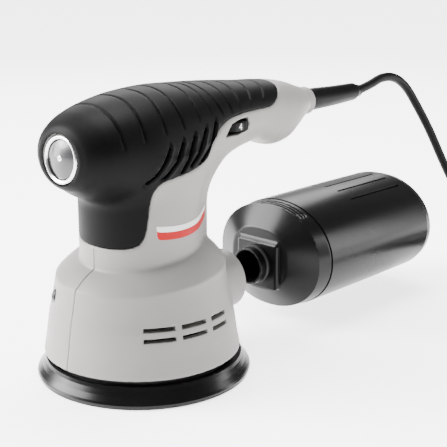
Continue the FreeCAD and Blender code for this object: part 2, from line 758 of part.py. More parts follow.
def main():
    os.makedirs("parts", exist_ok=True)
    left, right, grip = housing()
    nodes = {
        "left_shell": left,
        "right_shell": right,
        "rubber_grip": grip,
        "case_screws": group([case_screw(*s) for s in CASE_SCREWS]),
        "badge_ring": badge_ring(),
        "badge_lens": badge_lens(),
        "side_label": side_label(),
        "pad_brake_ring": pad_brake_ring(),
        "dust_shroud": dust_shroud(),
        "motor_plate": motor_plate(),
        "lower_bearing": bearing(12.0, SHAFT_R, 42.0, 50.0),
        "upper_bearing": bearing(9.5, 4.0, 138.0, 145.0),
        "bearing_bracket": bearing_bracket(),
        "stator_core": stator_core(),
        "field_windings": field_windings(),
        "stator_screws": stator_screws(),
        "brush_holders": brush_pair(brush_holder()),
        "carbon_brushes": brush_pair(carbon_brush()),
        "brush_springs": brush_pair(brush_spring()),
        "speed_controller": dial_controller(),
        "switch_block": switch_block(),
        "rocker_pin": rocker_pin(),
        "cord_clamp": cord_clamp(),
        "cord_clamp_screws": cord_clamp_screws(),
        "cord_boot": cord_boot(),
        "motor_shaft": motor_shaft(),
        "armature_core": armature_core(),
        "armature_windings": armature_windings(),
        "commutator": commutator(),
        "fan_counterweight": fan_counterweight(),
        "pad_bearing": bearing(11.0, SHAFT_R, 15.8, 22.8, ORBIT),
        "bearing_circlip": tube_z(11.0, 14.4, 15.7, ORBIT, 0.0, 8.4),
        "backing_pad": backing_pad(),
        "hook_sheet": hook_sheet(),
        "pad_carrier": pad_carrier(),
        "pad_screws": pad_screws(),
        "speed_dial": speed_dial(),
        "power_rocker": power_rocker(),
        "dust_box_cap": box_cap(),
        "dust_box_seal": box_seal(),
        "dust_box_canister": box_canister(),
        "dust_filter": dust_filter(),
        "cord": tube("cord", CORD_ROUTE),
        "cord_tail": tube("cord_tail", TAIL_ROUTE),
        "cord_coil": cord_coil(),
        "coil_tie": coil_tie(),
        "plug_body": plug_body(),
        "plug_pins": plug_pins(),
    }
    for name, shape in nodes.items():
        save(name, shape)
    print(len(nodes), "nodes")


main()
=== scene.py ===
import json
import math

import bpy
import numpy as np
from mathutils import Matrix, Vector


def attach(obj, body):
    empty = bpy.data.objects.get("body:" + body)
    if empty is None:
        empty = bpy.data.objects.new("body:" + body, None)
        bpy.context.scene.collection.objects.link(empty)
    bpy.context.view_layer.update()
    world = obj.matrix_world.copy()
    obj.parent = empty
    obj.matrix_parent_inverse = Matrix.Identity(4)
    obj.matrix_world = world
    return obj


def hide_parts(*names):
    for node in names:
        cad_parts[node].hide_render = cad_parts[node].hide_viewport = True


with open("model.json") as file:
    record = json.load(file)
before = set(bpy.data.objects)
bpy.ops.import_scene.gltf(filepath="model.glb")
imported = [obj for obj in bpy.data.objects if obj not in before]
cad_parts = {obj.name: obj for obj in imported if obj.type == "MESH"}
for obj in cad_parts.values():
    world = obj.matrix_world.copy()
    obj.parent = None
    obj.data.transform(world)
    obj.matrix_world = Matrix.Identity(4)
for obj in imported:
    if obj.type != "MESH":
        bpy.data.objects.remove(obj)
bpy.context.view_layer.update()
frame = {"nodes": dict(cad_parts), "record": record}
nodes = frame["nodes"]

MM = 0.001

# ---------------------------------------------------------------- sizes in millimetres, as in the CAD
WALL = 4.0
GRIP_T = 1.6
GRIP_GAP = 0.15
SPLIT = 0.02
NECK_R = 35.0
NECK_REAR_X = 24.0
NECK_REAR_R = 21.5
SHOULDER_R = 49.0
SHOULDER_RUN = 13.0
SKIRT_RIM_Z = 15.0
PORT_Z = 40.6
PORT_R = 12.6
PORT_WALL = 2.0
PORT_START_X = 40.0
PORT_TUBE_X = 45.5
PORT_END_X = 71.0
BOSS_Z = 38.6
BOSS_R = 18.6
COLLAR_Z = 141.2
COLLAR_R = 9.0
COLLAR_END_X = 148.0
CLAMP_ROOM_X = 120.0
BOOT_SEAT_R = 7.6
BOOT_NECK_R = 3.9
BOOT_LIP = 3.0
BOOT_R = 7.2
BOOT_END_X = 206.0
CORD_HOLE_R = 4.0
CORD_R = 3.1
DIAL = (52.0, -16.8, 140.3)
DIAL_R = 13.5
DIAL_HALF = 2.5
DIAL_GAP = 0.5
DIAL_ROOM_Y = -28.4
SWITCH = (52.0, 24.5, 140.0)
SWITCH_HALF_X = 11.0
SWITCH_HALF_Z = 6.5
BADGE = (-51.6, 0.0, 133.5)
BADGE_R = 13.8
BADGE_TILT = 4.0
BADGE_GAP = 0.15
BADGE_FLOOR = -1.05
LOUVRE_HALF = 0.8
LOUVRE_FLOOR_Y = 20.0
VENT_FLOOR_R = 42.0
POST_R = 4.4
SCREW_HOLE_R = 4.1
SCREW_SINK = 4.5
GROOVE_W = 1.15
GROOVE_DEPTH = 0.8
GROOVE_TOP_Z = 163.0
BOX_Z = 43.5
BOX_W = 43.8
BOX_H = 35.2
SPOUT_X = 92.0
SPOUT_R = 12.1
SPOUT_WALL = 1.5
CAP_FACE_X = 103.5
CAP_BAND_X = 113.5
SEAM_X = 125.0
COIL = (300.0, -92.0)
COIL_START_R = 44.3
COIL_PITCH = 6.2
COIL_TURNS = 7.25
COIL_LOWER_TURNS = 3.75
COIL_LAYER = 5.4

# head and handle sections: x, top, bottom, half width, roundness
STATIONS = np.array([
    (-56.5, 149.0, 119.4, 17.0, 2.0),
    (-54.5, 151.6, 117.4, 21.0, 2.0),
    (-50, 154.9, 115.0, 25.2, 2.0),
    (-44, 158.0, 111.0, 28.6, 2.05),
    (-30, 162.3, 104.5, 32.4, 2.1),
    (-10, 165.4, 98.0, 35.7, 2.15),
    (10, 166.5, 97.0, 36.0, 2.15),
    (30, 165.6, 108.0, 33.5, 2.15),
    (50, 164.4, 117.0, 30.0, 2.15),
    (70, 162.6, 122.3, 26.5, 2.2),
    (84, 161.2, 124.0, 24.5, 2.25),
    (96, 160.4, 121.8, 24.0, 2.3),
    (104, 159.7, 119.0, 23.7, 2.3),
    (111, 158.9, 119.8, 23.0, 2.25),
    (119, 157.4, 124.5, 21.5, 2.2),
    (128, 154.6, 130.0, 18.5, 2.1),
    (137, 151.0, 134.0, 13.5, 2.0),
], float)
# skirt wall: radius, height
SKIRT = np.array([
    (57, 5), (57, 16), (55.4, 25), (54.3, 33), (53.1, 40), (51.4, 47), (49.7, 56), (48.9, 61),
], float)
# side views of the rubber grip's edge and of the louvres' centre lines: x, z
GRIP_EDGE = [
    (105.5, 166), (104.5, 159), (98.5, 154), (92, 149.6), (84, 147.4), (61, 147.6), (45, 146.6), (33, 143),
    (24, 136), (17, 128), (8, 124.2), (-6, 121.4), (-14, 119.6), (-17.8, 115), (-19.5, 102), (-21.5, 89),
    (-25, 84), (-35, 81.7), (-46, 81.5),
]
LOUVRES = [
    [(-9.8, 137.7), (-13.8, 131.3), (-18.5, 125.3), (-23.4, 120.8)],
    [(0.1, 139.4), (-5.2, 131.1), (-14.0, 122.5)],
    [(9.5, 141.6), (3.9, 132.6), (-2.3, 124.1)],
    [(19.3, 143.9), (12.7, 135.1), (4.0, 126.7)],
    [(28.8, 146.1), (22.2, 136.2), (12.7, 127.8)],
]
DIAL_WINDOW = [
    (37.5, 136.9), (44, 142.9), (52.5, 144.4), (60.8, 144.5), (62.4, 141), (60.5, 137.3), (51, 136.3),
]
# air slots: angles about the motor in degrees, and heights
VENT_COLUMNS = [(-132.0, -112.5), (-108.5, -90.5), (-86.0, -70.5)]
VENT_ROWS = [(35.4, 37.8), (41.0, 43.5)]
# case screws: x, z, and how far out the surface lies
CASE_SCREWS = [(-43, 50, 26.5), (38, 64, 29.0), (36.5, 94, 17.4), (94, 139, 23.6), (121, 142.5, 20.5)]

# finger grooves over the grip: x at the top of the handle, x and z where the groove runs out on the side
GROOVES = [
    (-35.6, -37.0, 139.3), (-21.0, -24.4, 141.8), (-7.0, -10.6, 144.2), (4.8, 3.3, 145.6),
    (19.3, 16.4, 148.3), (28.3, 28.1, 150.3), (35.2, 37.4, 148.2), (46.7, 46.2, 148.8),
    (59.0, 54.8, 150.4), (75.1, 65.9, 150.9), (92.2, 78.5, 150.6),
]

# free cord from the end of the boot to the coil, and from the coil to the plug
CORD_ROUTE = [
    (206, 0, 141.2), (220, 0, 143.5), (233, 0, 147.5), (248, -1, 146.5), (262, -2, 138), (274, -4, 123),
    (287, -8, 103), (300, -12, 79), (312, -19, 54), (323, -29, 32), (333, -42, 15), (340, -58, 6),
    (343.5, -75, 3.3), (344.3, -92, 3.1),
]
TAIL_ROUTE = [(300, -133.2, 8.5), (287, -133.9, 7.4), (274, -135.6, 7.6), (261, -136.5, 8.5)]


# ---------------------------------------------------------- camera: place in metres, lens in millimetres
CAMERA_PLACE = (-0.4102, -0.4476, 0.2568)
CAMERA_FORWARD = (0.7044, 0.6569, -0.2689)
CAMERA_LENS = 88.6


def add_camera():
    data = bpy.data.cameras.new("camera")
    data.lens = CAMERA_LENS
    data.sensor_width = 36.0
    camera = bpy.data.objects.new("camera", data)
    bpy.context.scene.collection.objects.link(camera)
    forward = Vector(CAMERA_FORWARD).normalized()
    right = forward.cross(Vector((0, 0, 1))).normalized()
    up = right.cross(forward)
    turn = Matrix((right, up, -forward)).transposed()
    camera.matrix_world = Matrix.Translation(CAMERA_PLACE) @ turn.to_4x4()
    bpy.context.scene.camera = camera


add_camera()


# ---------------------------------------------------------------- small helpers
def link(obj):
    bpy.context.scene.collection.objects.link(obj)
    return obj


def mesh_piece(name, vertices, faces, material, body, sharp=35.0):
    """Mesh object from points in millimetres, smooth apart from edges sharper than the angle."""
    mesh = bpy.data.meshes.new(name)
    mesh.from_pydata((np.asarray(vertices, float) * MM).tolist(), [], [list(map(int, f)) for f in faces])
    mesh.validate()
    mesh.shade_smooth()
    mesh.set_sharp_from_angle(angle=math.radians(sharp))
    mesh.materials.append(material)
    obj = link(bpy.data.objects.new(name, mesh))
    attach(obj, body)
    return obj


def turned(profile, count):
    """Vertices and faces of a closed (radius, height) profile turned about Z."""
    profile = np.array(profile, float)
    n = len(profile)
    angle = 2 * np.pi * np.arange(count) / count
    r = profile[None, :, 0]
    x = r * np.cos(angle)[:, None]
    y = r * np.sin(angle)[:, None]
    z = np.broadcast_to(profile[None, :, 1], x.shape)
    vertices = np.stack([x, y, z], -1).reshape(-1, 3)
    faces = []
    for i in range(count):
        j = (i + 1) % count
        for k in range(n):
            m = (k + 1) % n
            faces.append((i * n + k, j * n + k, j * n + m, i * n + m))
    return vertices, faces


def rounded(points, radii, steps):
    """Profile polygon with its corners rounded, each by its own radius."""
    out = []
    n = len(points)
    for i in range(n):
        p = Vector(points[i])
        a = Vector(points[i - 1]) - p
        b = Vector(points[(i + 1) % n]) - p
        if radii[i] == 0 or a.length < 1e-6 or b.length < 1e-6:
            out.append(tuple(p))
            continue
        half = a.angle(b) / 2
        reach = min(radii[i] / math.tan(half), 0.45 * a.length, 0.45 * b.length)
        start, end = p + a.normalized() * reach, p + b.normalized() * reach
        for k in range(steps + 1):
            t = k / steps
            out.append(tuple((1 - t) ** 2 * start + 2 * t * (1 - t) * p + t ** 2 * end))
    return out


# ---------------------------------------------------------------- materials
def material(name, colour, roughness, metallic=0.0, mottle=0.06, mottle_scale=60.0, rough_vary=0.06,
             bump=0.1, bump_scale=900.0, depth=0.05, voronoi=False, stretch=(1, 1, 1), **sockets):
    """Principled material with fine colour, roughness and surface variation, in object space."""
    made = bpy.data.materials.new(name)
    made.use_nodes = True
    tree = made.node_tree
    shader = tree.nodes["Principled BSDF"]
    shader.inputs["Metallic"].default_value = metallic
    for key, value in sockets.items():
        shader.inputs[key.replace("_", " ")].default_value = value
    place = tree.nodes.new("ShaderNodeTexCoord")
    mapping = tree.nodes.new("ShaderNodeMapping")
    mapping.inputs["Scale"].default_value = stretch
    tree.links.new(place.outputs["Object"], mapping.inputs["Vector"])
    broad = tree.nodes.new("ShaderNodeTexNoise")
    broad.inputs["Scale"].default_value = mottle_scale
    broad.inputs["Detail"].default_value = 4.0
    tree.links.new(mapping.outputs["Vector"], broad.inputs["Vector"])
    ramp = tree.nodes.new("ShaderNodeValToRGB")
    low = [c * (1 - mottle) for c in colour]
    high = [min(1.0, c * (1 + mottle)) for c in colour]
    ramp.color_ramp.elements[0].position = 0.3
    ramp.color_ramp.elements[0].color = (*low, 1)
    ramp.color_ramp.elements[1].position = 0.7
    ramp.color_ramp.elements[1].color = (*high, 1)
    tree.links.new(broad.outputs["Fac"], ramp.inputs["Fac"])
    tree.links.new(ramp.outputs["Color"], shader.inputs["Base Color"])
    fine = tree.nodes.new("ShaderNodeTexVoronoi" if voronoi else "ShaderNodeTexNoise")
    fine.inputs["Scale"].default_value = bump_scale
    tree.links.new(mapping.outputs["Vector"], fine.inputs["Vector"])
    height = fine.outputs["Distance"] if voronoi else fine.outputs["Fac"]
    spread = tree.nodes.new("ShaderNodeMapRange")
    spread.inputs["To Min"].default_value = max(0.02, roughness - rough_vary)
    spread.inputs["To Max"].default_value = min(1.0, roughness + rough_vary)
    tree.links.new(broad.outputs["Fac"], spread.inputs["Value"])
    tree.links.new(spread.outputs["Result"], shader.inputs["Roughness"])
    relief = tree.nodes.new("ShaderNodeBump")
    relief.inputs["Strength"].default_value = bump
    relief.inputs["Distance"].default_value = depth * MM
    tree.links.new(height, relief.inputs["Height"])
    tree.links.new(relief.outputs["Normal"], shader.inputs["Normal"])
    return made


LOOKS = {
    "housing_plastic": material(
        "housing_plastic", (0.215, 0.207, 0.197), 0.45, mottle=0.02, bump=0.3, bump_scale=1500,
        depth=0.05, Specular_IOR_Level=0.25,
    ),
    "grip_rubber": material(
        "grip_rubber", (0.002, 0.002, 0.0021), 0.5, mottle=0.12, bump=0.35, bump_scale=1700, depth=0.04,
        Specular_IOR_Level=0.06,
    ),
    "badge_chrome": material(
        "badge_chrome", (0.9, 0.9, 0.89), 0.2, metallic=1.0, mottle=0.02, bump=0.03, bump_scale=400,
    ),
    "badge_lens": material(
        "badge_lens", (0.06, 0.06, 0.062), 0.34, metallic=1.0, mottle=0.03, rough_vary=0.03, bump=0.01,
        bump_scale=200, Coat_Weight=0.5, Coat_Roughness=0.12,
    ),
    "label_vinyl": material("label_vinyl", (0.6, 0.6, 0.59), 0.35, mottle=0.02, bump=0.05),
    "black_steel": material("black_steel", (0.04, 0.04, 0.041), 0.5, metallic=1.0, mottle=0.1, bump=0.05),
    "label_red": material(
        "label_red", (0.35, 0.006, 0.009), 0.4, mottle=0.05, bump=0.05, Specular_IOR_Level=0.1,
    ),
    "dial_print": material("dial_print", (0.75, 0.75, 0.73), 0.5, mottle=0.04, bump=0.1),
    "pad_rubber": material(
        "pad_rubber", (0.003, 0.003, 0.0031), 0.25, mottle=0.15, bump=0.12, bump_scale=700,
        Specular_IOR_Level=0.18,
    ),
    "hook_fabric": material(
        "hook_fabric", (0.03, 0.03, 0.031), 0.9, mottle=0.3, mottle_scale=300, bump=0.9,
        bump_scale=1200, depth=0.4, voronoi=True,
    ),
    "box_plastic": material(
        "box_plastic", (0.0025, 0.0025, 0.0026), 0.28, mottle=0.1, rough_vary=0.02, bump=0.02,
        bump_scale=1100, depth=0.03, Specular_IOR_Level=0.16,
    ),
    "black_plastic": material(
        "black_plastic", (0.005, 0.005, 0.0052), 0.45, mottle=0.1, bump=0.3, bump_scale=1300,
        Specular_IOR_Level=0.12,
    ),
    "cable_rubber": material(
        "cable_rubber", (0.003, 0.003, 0.0031), 0.4, mottle=0.1, bump=0.2, bump_scale=900,
        Specular_IOR_Level=0.06,
    ),
    "seal_rubber": material("seal_rubber", (0.02, 0.02, 0.02), 0.6, mottle=0.1, bump=0.3),
    "steel": material(
        "steel", (0.56, 0.56, 0.57), 0.3, metallic=1.0, mottle=0.05, bump=0.1, stretch=(1, 1, 20),
    ),
    "laminated_steel": material(
        "laminated_steel", (0.3, 0.3, 0.31), 0.45, metallic=1.0, mottle=0.2, bump=0.6, bump_scale=400,
        stretch=(0.02, 0.02, 4),
    ),
    "copper": material(
        "copper", (0.72, 0.3, 0.14), 0.35, metallic=1.0, mottle=0.15, bump=0.7, bump_scale=500,
        stretch=(0.1, 0.1, 3),
    ),
    "brass": material("brass", (0.75, 0.55, 0.22), 0.3, metallic=1.0, mottle=0.06, bump=0.1),
    "carbon": material("carbon", (0.03, 0.03, 0.032), 0.55, mottle=0.2, bump=0.4),
    "die_cast": material(
        "die_cast", (0.5, 0.5, 0.51), 0.5, metallic=1.0, mottle=0.08, bump=0.4, bump_scale=800,
    ),
    "board": material("board", (0.03, 0.16, 0.06), 0.4, mottle=0.2, bump=0.2),
    "filter_fabric": material(
        "filter_fabric", (0.6, 0.58, 0.5), 0.95, mottle=0.1, mottle_scale=200, bump=0.8,
        bump_scale=1500, depth=0.2,
    ),
}

NODE_SLOTS = {
    name: entry["slot"] for entry in frame["record"]["materials"] for name in entry.get("nodes", [])
}


def dress_nodes():
    for name, obj in nodes.items():
        slot = NODE_SLOTS.get(name)
        if slot is None:
            for index in range(len(obj.material_slots)):
                base = obj.material_slots[index].material.name.split(".")[0]
                slot = base if base in LOOKS else slot
        look = LOOKS["black_steel"] if name == "case_screws" else LOOKS.get(slot)
        if look is None:
            print("no look for", name, slot)
            continue
        if not obj.material_slots:
            obj.data.materials.append(look)
        for place in obj.material_slots:
            place.material = look


dress_nodes()


# ---------------------------------------------------------------- solid forms as fields, negative inside
def through(x, y, at):
    """Monotone cubic through the points (x, y), read at the places in at."""
    h, rise = np.diff(x), np.diff(y) / np.diff(x)
    slope = np.zeros(len(x))
    slope[0], slope[-1] = rise[0], rise[-1]
    for i in range(1, len(x) - 1):
        if rise[i - 1] * rise[i] > 0:
            a, b = 2 * h[i] + h[i - 1], h[i] + 2 * h[i - 1]
            slope[i] = (a + b) / (a / rise[i - 1] + b / rise[i])
    k = np.clip(np.searchsorted(x, at) - 1, 0, len(h) - 1)
    t = (at - x[k]) / h[k]
    return (y[k] * (2 * t ** 3 - 3 * t ** 2 + 1) + slope[k] * h[k] * (t ** 3 - 2 * t ** 2 + t)
            + y[k + 1] * (3 * t ** 2 - 2 * t ** 3) + slope[k + 1] * h[k] * (t ** 3 - t ** 2))


HEAD_X = np.linspace(STATIONS[0, 0], STATIONS[-1, 0], 800)
HEAD = [through(STATIONS[:, 0], STATIONS[:, i], HEAD_X) for i in range(1, 5)]
HEAD_SLOPES = [np.gradient(table, HEAD_X) for table in HEAD[:3]]


def smooth_min(a, b, k):
    h = np.clip(0.5 + 0.5 * (b - a) / k, 0, 1)
    return b * (1 - h) + a * h - k * h * (1 - h)


def smooth_max(a, b, k):
    return -smooth_min(-a, -b, k)


def parts_of(p):
    return p[..., 0], p[..., 1], p[..., 2]


def head_field(p):
    x, y, z = parts_of(p)
    at = np.clip(x, HEAD_X[0], HEAD_X[-1])
    top, bottom, half, n = (np.interp(at, HEAD_X, table) for table in HEAD)
    middle, height = (top + bottom) / 2, (top - bottom) / 2
    r = ((np.abs(y) / half) ** n + (np.abs(z - middle) / height) ** n) ** (1 / n) + 1e-9
    top_slope, bottom_slope, side_slope = (np.interp(at, HEAD_X, table) for table in HEAD_SLOPES)
    sideways = (np.abs(y) / half / r) ** n
    slope = side_slope * sideways + np.where(z > middle, top_slope, -bottom_slope) * (1 - sideways)
    d = (r - 1) * np.sqrt(y ** 2 + (z - middle) ** 2) / r / np.sqrt(1 + slope ** 2)
    past = np.maximum(HEAD_X[0] - x, 0) + np.maximum(x - HEAD_X[-1], 0)
    return np.where(past > 0, np.sqrt(np.maximum(d, 0) ** 2 + past ** 2), d * 0.92)


def rod(y, z, centre_z, radius):
    """Endless rod along X, in the plane y = 0."""
    return np.hypot(y, z - centre_z) - radius


def slab(value, low, high):
    """Space between two parallel planes."""
    return np.maximum(low - value, value - high)


def shoulder_height(x):
    return 59.5 + 0.076 * (x + 49)


def neck_base_height(x):
    return 68.3 + 0.165 * (x + 36)


def skirt_field(p):
    x, y, z = parts_of(p)
    r = np.hypot(x, y)
    side = r - np.interp(z, SKIRT[:, 1], SKIRT[:, 0])
    edge, base = shoulder_height(x), neck_base_height(x)
    inward = np.clip((SHOULDER_R - r) / SHOULDER_RUN, -0.4, 1.6)
    crown = 1.2 * np.clip(4 * inward * (1 - inward), 0, 1)
    top = edge + (base - edge) * inward + crown
    return smooth_max(side, (z - top) * 0.8, 0.6)


def neck_field(p):
    x, y, z = parts_of(p)
    d = smooth_min(np.hypot(x, y) - NECK_R, np.hypot(x - NECK_REAR_X, y) - NECK_REAR_R, 8)
    return np.maximum(d, slab(z, 45, 130))


def main_field(p):
    """Head, neck and skirt. The blend under the head widens towards the rear."""
    blend = 5 + 11 * np.clip((p[..., 0] + 5) / 40, 0, 1)
    d = smooth_min(head_field(p), neck_field(p), blend)
    return smooth_min(d, skirt_field(p), 1.2)


def trimmed_field(p, main):
    """The whole outside: the main form with the dust port's boss and the cord's collar."""
    x, y, z = parts_of(p)
    boss = smooth_max(rod(y, z, BOSS_Z, BOSS_R), slab(x, PORT_START_X, PORT_END_X), 1.6)
    collar = smooth_max(rod(y, z, COLLAR_Z, COLLAR_R), slab(x, 110, COLLAR_END_X), 0.8)
    d = smooth_min(smooth_min(main, boss, 2), collar, 5)
    return np.maximum(d, SKIRT_RIM_Z - z)


def polygon_field(x, z, corners):
    """Signed distance to a closed polygon in side view."""
    best = np.full(x.shape, 1e9)
    inside = np.zeros(x.shape, bool)
    n = len(corners)
    for i in range(n):
        (ax, az), (bx, bz) = corners[i], corners[(i + 1) % n]
        ex, ez = bx - ax, bz - az
        t = np.clip(((x - ax) * ex + (z - az) * ez) / (ex * ex + ez * ez), 0, 1)
        best = np.minimum(best, (x - ax - t * ex) ** 2 + (z - az - t * ez) ** 2)
        if ez:
            crosses = (az > z) != (bz > z)
            inside ^= crosses & (x < ax + (z - az) / ez * ex)
    return np.where(inside, -1, 1) * np.sqrt(best)


def line_field(x, z, points):
    """Distance to an open line in side view, and the side of it that a point lies on."""
    best = np.full(x.shape, 1e9)
    side = np.zeros(x.shape)
    for (ax, az), (bx, bz) in zip(points, points[1:]):
        ex, ez = bx - ax, bz - az
        t = np.clip(((x - ax) * ex + (z - az) * ez) / (ex * ex + ez * ez), 0, 1)
        d = np.hypot(x - ax - t * ex, z - az - t * ez)
        nearer = d < best
        best = np.where(nearer, d, best)
        side = np.where(nearer, np.sign((x - ax) * ez - (z - az) * ex), side)
    return best, side


def smoothed(points, count):
    """Open line through the points, rounded, with count points."""
    points = np.array(points, float)
    along = np.concatenate([[0], np.cumsum(np.hypot(*np.diff(points, axis=0).T))])
    at = np.linspace(0, along[-1], count)
    return np.stack([through(along, points[:, 0], at), through(along, points[:, 1], at)], 1)


class SideMap:
    """A side-view field sampled once on a fine grid, then read between its points."""
    LOW, HIGH, PITCH = np.array([-82.0, 4.0]), np.array([172.0, 182.0]), 0.25

    def __init__(self, rule):
        count = ((self.HIGH - self.LOW) / self.PITCH).astype(int) + 1
        x = self.LOW[0] + np.arange(count[0]) * self.PITCH
        z = self.LOW[1] + np.arange(count[1]) * self.PITCH
        self.values = rule(*np.meshgrid(x, z, indexing="ij"))

    def __call__(self, x, z):
        u, v = (x - self.LOW[0]) / self.PITCH, (z - self.LOW[1]) / self.PITCH
        i = np.clip(u.astype(int), 0, self.values.shape[0] - 2)
        j = np.clip(v.astype(int), 0, self.values.shape[1] - 2)
        a, b = np.clip(u - i, 0, 1), np.clip(v - j, 0, 1)
        t = self.values
        return ((t[i, j] * (1 - a) + t[i + 1, j] * a) * (1 - b)
                + (t[i, j + 1] * (1 - a) + t[i + 1, j + 1] * a) * b)


def louvre_rule(x, z):
    """Distance to the nearest louvre's centre line."""
    return np.minimum.reduce([line_field(x, z, line)[0] for line in LOUVRE_LINES])


def lip_rule(x, z):
    """Height of the raised lips along the front edge of the louvres."""
    height = np.zeros(x.shape)
    for line in LOUVRE_LINES:
        d, which = line_field(x, z, line)
        height = np.maximum(height, np.where(which < 0, np.exp(-((d - 2.0) / 1.2) ** 2), 0))
    return height * 0.7


def groove_rule(x, z):
    """Depth of the finger grooves."""
    depth = np.zeros(x.shape)
    for top_x, end_x, end_z in GROOVES:
        t = np.clip((GROOVE_TOP_Z - z) / (GROOVE_TOP_Z - end_z), 0, 1.3)
        d = x - (top_x + (end_x - top_x) * t)
        fade = np.clip((z - end_z) / 5.0, 0, 1)
        dent = np.where(np.abs(d) < GROOVE_W, 0.5 + 0.5 * np.cos(np.pi * d / GROOVE_W), 0)
        depth = np.maximum(depth, dent * fade * (2 - fade))
    return depth * GROOVE_DEPTH


GRIP_CORNERS = [tuple(c) for c in smoothed(GRIP_EDGE, 60)] + [(-80, 81.5), (-80, 200), (105.5, 200)]
LOUVRE_LINES = [[tuple(c) for c in smoothed(line, 9)] for line in LOUVRES]
TILT = math.radians(BADGE_TILT)
grip_outline = SideMap(lambda x, z: polygon_field(x, z, GRIP_CORNERS))
louvre_line = SideMap(louvre_rule)
louvre_lip = SideMap(lip_rule)
groove_dent = SideMap(groove_rule)
dial_window = SideMap(lambda x, z: polygon_field(x, z, DIAL_WINDOW))


def badge_place(p):
    """Coordinates in the badge's own frame: along its axis, outwards, then across and up."""
    x, y, z = parts_of(p)
    dx, dz = x - BADGE[0], z - BADGE[2]
    out = -(dx * math.cos(TILT) - dz * math.sin(TILT))
    up = dx * math.sin(TILT) + dz * math.cos(TILT)
    return out, y, up


def badge_seat(p):
    """Round recess that the badge sits in."""
    out, across, up = badge_place(p)
    return np.maximum(np.hypot(across, up) - BADGE_R - BADGE_GAP, BADGE_FLOOR - out)


def louvre_slots(x, y, z):
    return np.maximum(louvre_line(x, z) - LOUVRE_HALF, LOUVRE_FLOOR_Y - np.abs(y))


def grip_field(p):
    x, y, z = parts_of(p)
    body = trimmed_field(p, main_field(p))
    skin = smooth_max(body + groove_dent(x, z) - louvre_lip(x, z), grip_outline(x, z) + GRIP_GAP, 1.2)
    grip = np.maximum(skin, -(body + GRIP_T + 0.03))
    grip = smooth_max(grip, -louvre_slots(x, y, z), 0.3)
    return np.maximum(grip, -badge_seat(p))


def kept_field(p, main):
    """Where the shells are solid: wall, screw posts, the port's tube and boss, and the collar."""
    x, y, z = parts_of(p)
    kept = -(main + WALL)
    for sx, sz, _ in CASE_SCREWS:
        kept = np.minimum(kept, np.hypot(x - sx, z - sz) - POST_R)
    kept = np.minimum(kept, np.maximum(rod(y, z, PORT_Z, PORT_R + PORT_WALL), PORT_TUBE_X - x))
    kept = np.minimum(kept, np.maximum(rod(y, z, BOSS_Z, BOSS_R), PORT_TUBE_X - x))
    return np.minimum(kept, np.maximum(rod(y, z, COLLAR_Z, COLLAR_R), 124 - x))


def vents_field(x, y, z):
    """Air slots on both sides of the skirt."""
    r = np.hypot(x, y)
    angle = np.degrees(np.arctan2(-np.abs(y), x))
    slots = np.full(x.shape, 1e9)
    for a0, a1 in VENT_COLUMNS:
        wide = np.radians(slab(angle, a0, a1)) * r
        for z0, z1 in VENT_ROWS:
            slots = np.minimum(slots, np.maximum(wide, slab(z, z0, z1)))
    return np.maximum(slots, VENT_FLOOR_R - r)


def cord_way(x, y, z):
    """The boot's seat inside the collar, and the hole for the cord."""
    seat = np.maximum(rod(y, z, COLLAR_Z, BOOT_SEAT_R), slab(x, CLAMP_ROOM_X, COLLAR_END_X - BOOT_LIP))
    hole = np.maximum(rod(y, z, COLLAR_Z, CORD_HOLE_R), CLAMP_ROOM_X - x)
    return np.minimum(seat, hole)


def with_dial_window(solid, x, y, z):
    """Left shell with the dial's window, and the room for its wheel."""
    window = np.maximum(dial_window(x, z) - 0.2, y + 20)
    solid = smooth_max(solid, -window, 1.0)
    around = np.hypot(x - DIAL[0], y - DIAL[1]) - DIAL_R - DIAL_GAP
    room = np.maximum(around, np.abs(z - DIAL[2]) - DIAL_HALF - DIAL_GAP)
    return np.maximum(solid, -np.maximum(room, DIAL_ROOM_Y - y))


def with_switch_and_screws(solid, x, y, z):
    """Right shell with the rocker's opening and the sunk screw holes."""
    opening = np.maximum(np.abs(x - SWITCH[0]) - SWITCH_HALF_X, np.abs(z - SWITCH[2]) - SWITCH_HALF_Z)
    solid = smooth_max(solid, -np.maximum(opening, 16 - y), 0.8)
    for sx, sz, surface in CASE_SCREWS:
        hole = np.maximum(np.hypot(x - sx, z - sz) - SCREW_HOLE_R, surface - SCREW_SINK - y)
        solid = smooth_max(solid, -hole, 0.5)
    return solid


def shell_field(p, side):
    """Half of the housing; side is -1 for the left one and 1 for the right one."""
    x, y, z = parts_of(p)
    main = main_field(p)
    body = trimmed_field(p, main)
    outline = grip_outline(x, z)
    bed = np.maximum(outline - GRIP_GAP, -(body + GRIP_T))
    rim = 0.5 * np.clip(1 - (outline - 0.1) / 1.1, 0, 1)
    solid = np.maximum(np.maximum(kept_field(p, main), body + rim), -bed)
    solid = np.maximum(solid, -vents_field(x, y, z))
    solid = np.maximum(solid, -louvre_slots(x, y, z))
    solid = smooth_max(solid, -np.maximum(rod(y, z, PORT_Z, PORT_R), PORT_START_X - x), 0.7)
    solid = np.maximum(solid, -np.minimum(cord_way(x, y, z), badge_seat(p)))
    solid = (with_dial_window if side < 0 else with_switch_and_screws)(solid, x, y, z)
    seam = 0.35 * np.clip(1 - np.abs(y) / 0.5, 0, 1)
    return np.maximum(np.maximum(solid, body + seam), SPLIT - side * y)


# ---------------------------------------------------------------- mesh of a field
BLOCK = 8
NORMAL_REACH = 0.06
DAMPING = 0.06
CELL_SLACK = 0.05


